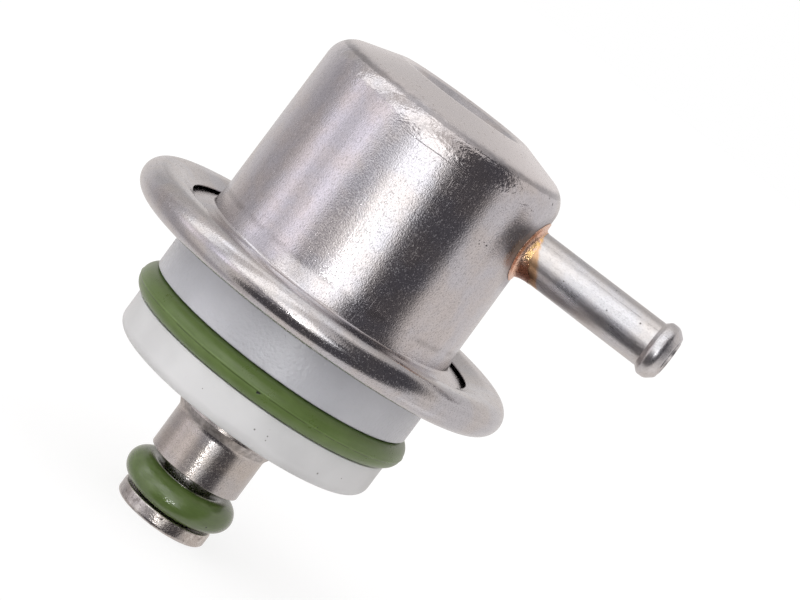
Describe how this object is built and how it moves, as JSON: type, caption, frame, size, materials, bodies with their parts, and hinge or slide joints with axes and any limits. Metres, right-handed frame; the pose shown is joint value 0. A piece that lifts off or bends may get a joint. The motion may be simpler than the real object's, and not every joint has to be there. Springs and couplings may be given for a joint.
{
  "type": "fuel pressure regulator",
  "caption": "Return-type fuel pressure regulator that plugs into a fuel rail: spring can with vacuum hose nipple, diaphragm valve and sealed return fitting.",
  "frame": {"origin": "centre of the bounding box at the return fitting's end face; the regulator's axis stands 4.475 mm towards -X of it", "axes": "+Z along the regulator's axis from the return fitting to the top of the spring can; +X along the hose nipple, outwards"},
  "size_m": [0.0508, 0.042, 0.0498],
  "materials": {
    "spring_can": "drawn stainless, satin with fine lengthwise grain",
    "hose_nipple": "stainless tube, satin",
    "nipple_braze": "copper braze, glossy in places",
    "lower_housing": "rolled stainless, half polished",
    "return_fitting": "turned steel",
    "fitting_braze": "copper braze",
    "valve_seat": "hardened and ground",
    "upper_ring": "moulded, lightly textured",
    "strainer_frame": "moulded, milky white",
    "strainer_mesh": "woven wire",
    "large_o_ring": "moulded green rubber with a parting line",
    "small_o_ring": "moulded green rubber, oiled",
    "diaphragm": "rubber-coated cloth",
    "lower_plate": "stamped",
    "upper_plate": "stamped",
    "spring_cup": "stamped and plated",
    "valve_holder": "turned",
    "ball_retainer": "spring steel",
    "valve_plate": "lapped",
    "valve_ball": "bearing steel",
    "main_spring": "spring wire, ends ground",
    "ball_spring": "fine spring wire"
  },
  "bodies": {
    "regulator_body": {"spring_can": "spring_can", "hose_nipple": "hose_nipple", "nipple_braze": "nipple_braze", "lower_housing": "lower_housing", "return_fitting": "return_fitting", "fitting_braze": "fitting_braze", "valve_seat": "valve_seat", "upper_ring": "upper_ring", "strainer_frame": "strainer_frame", "strainer_mesh": "strainer_mesh", "large_o_ring": "large_o_ring", "small_o_ring": "small_o_ring", "diaphragm": "diaphragm", "main_spring": "main_spring"},
    "diaphragm_stack": {"lower_plate": "lower_plate", "upper_plate": "upper_plate", "spring_cup": "spring_cup", "valve_holder": "valve_holder", "ball_retainer": "ball_retainer", "ball_spring": "ball_spring"},
    "valve": {"valve_plate": "valve_plate", "valve_ball": "valve_ball"}
  },
  "joints": [
    {"name": "valve_lift", "type": "slide", "parent": "regulator_body", "child": "diaphragm_stack", "axis": [0, 0, 1], "range_m": [0, 0.0006], "stiffness_N_per_m": 10000, "deforming": ["main_spring", "diaphragm"]},
    {"name": "valve_swivel", "type": "hinge", "parent": "diaphragm_stack", "child": "valve", "pos_m": [-0.00447, 0, 0.0249], "axis": [0, 1, 0], "range_deg": [-2, 2]}
  ]
}
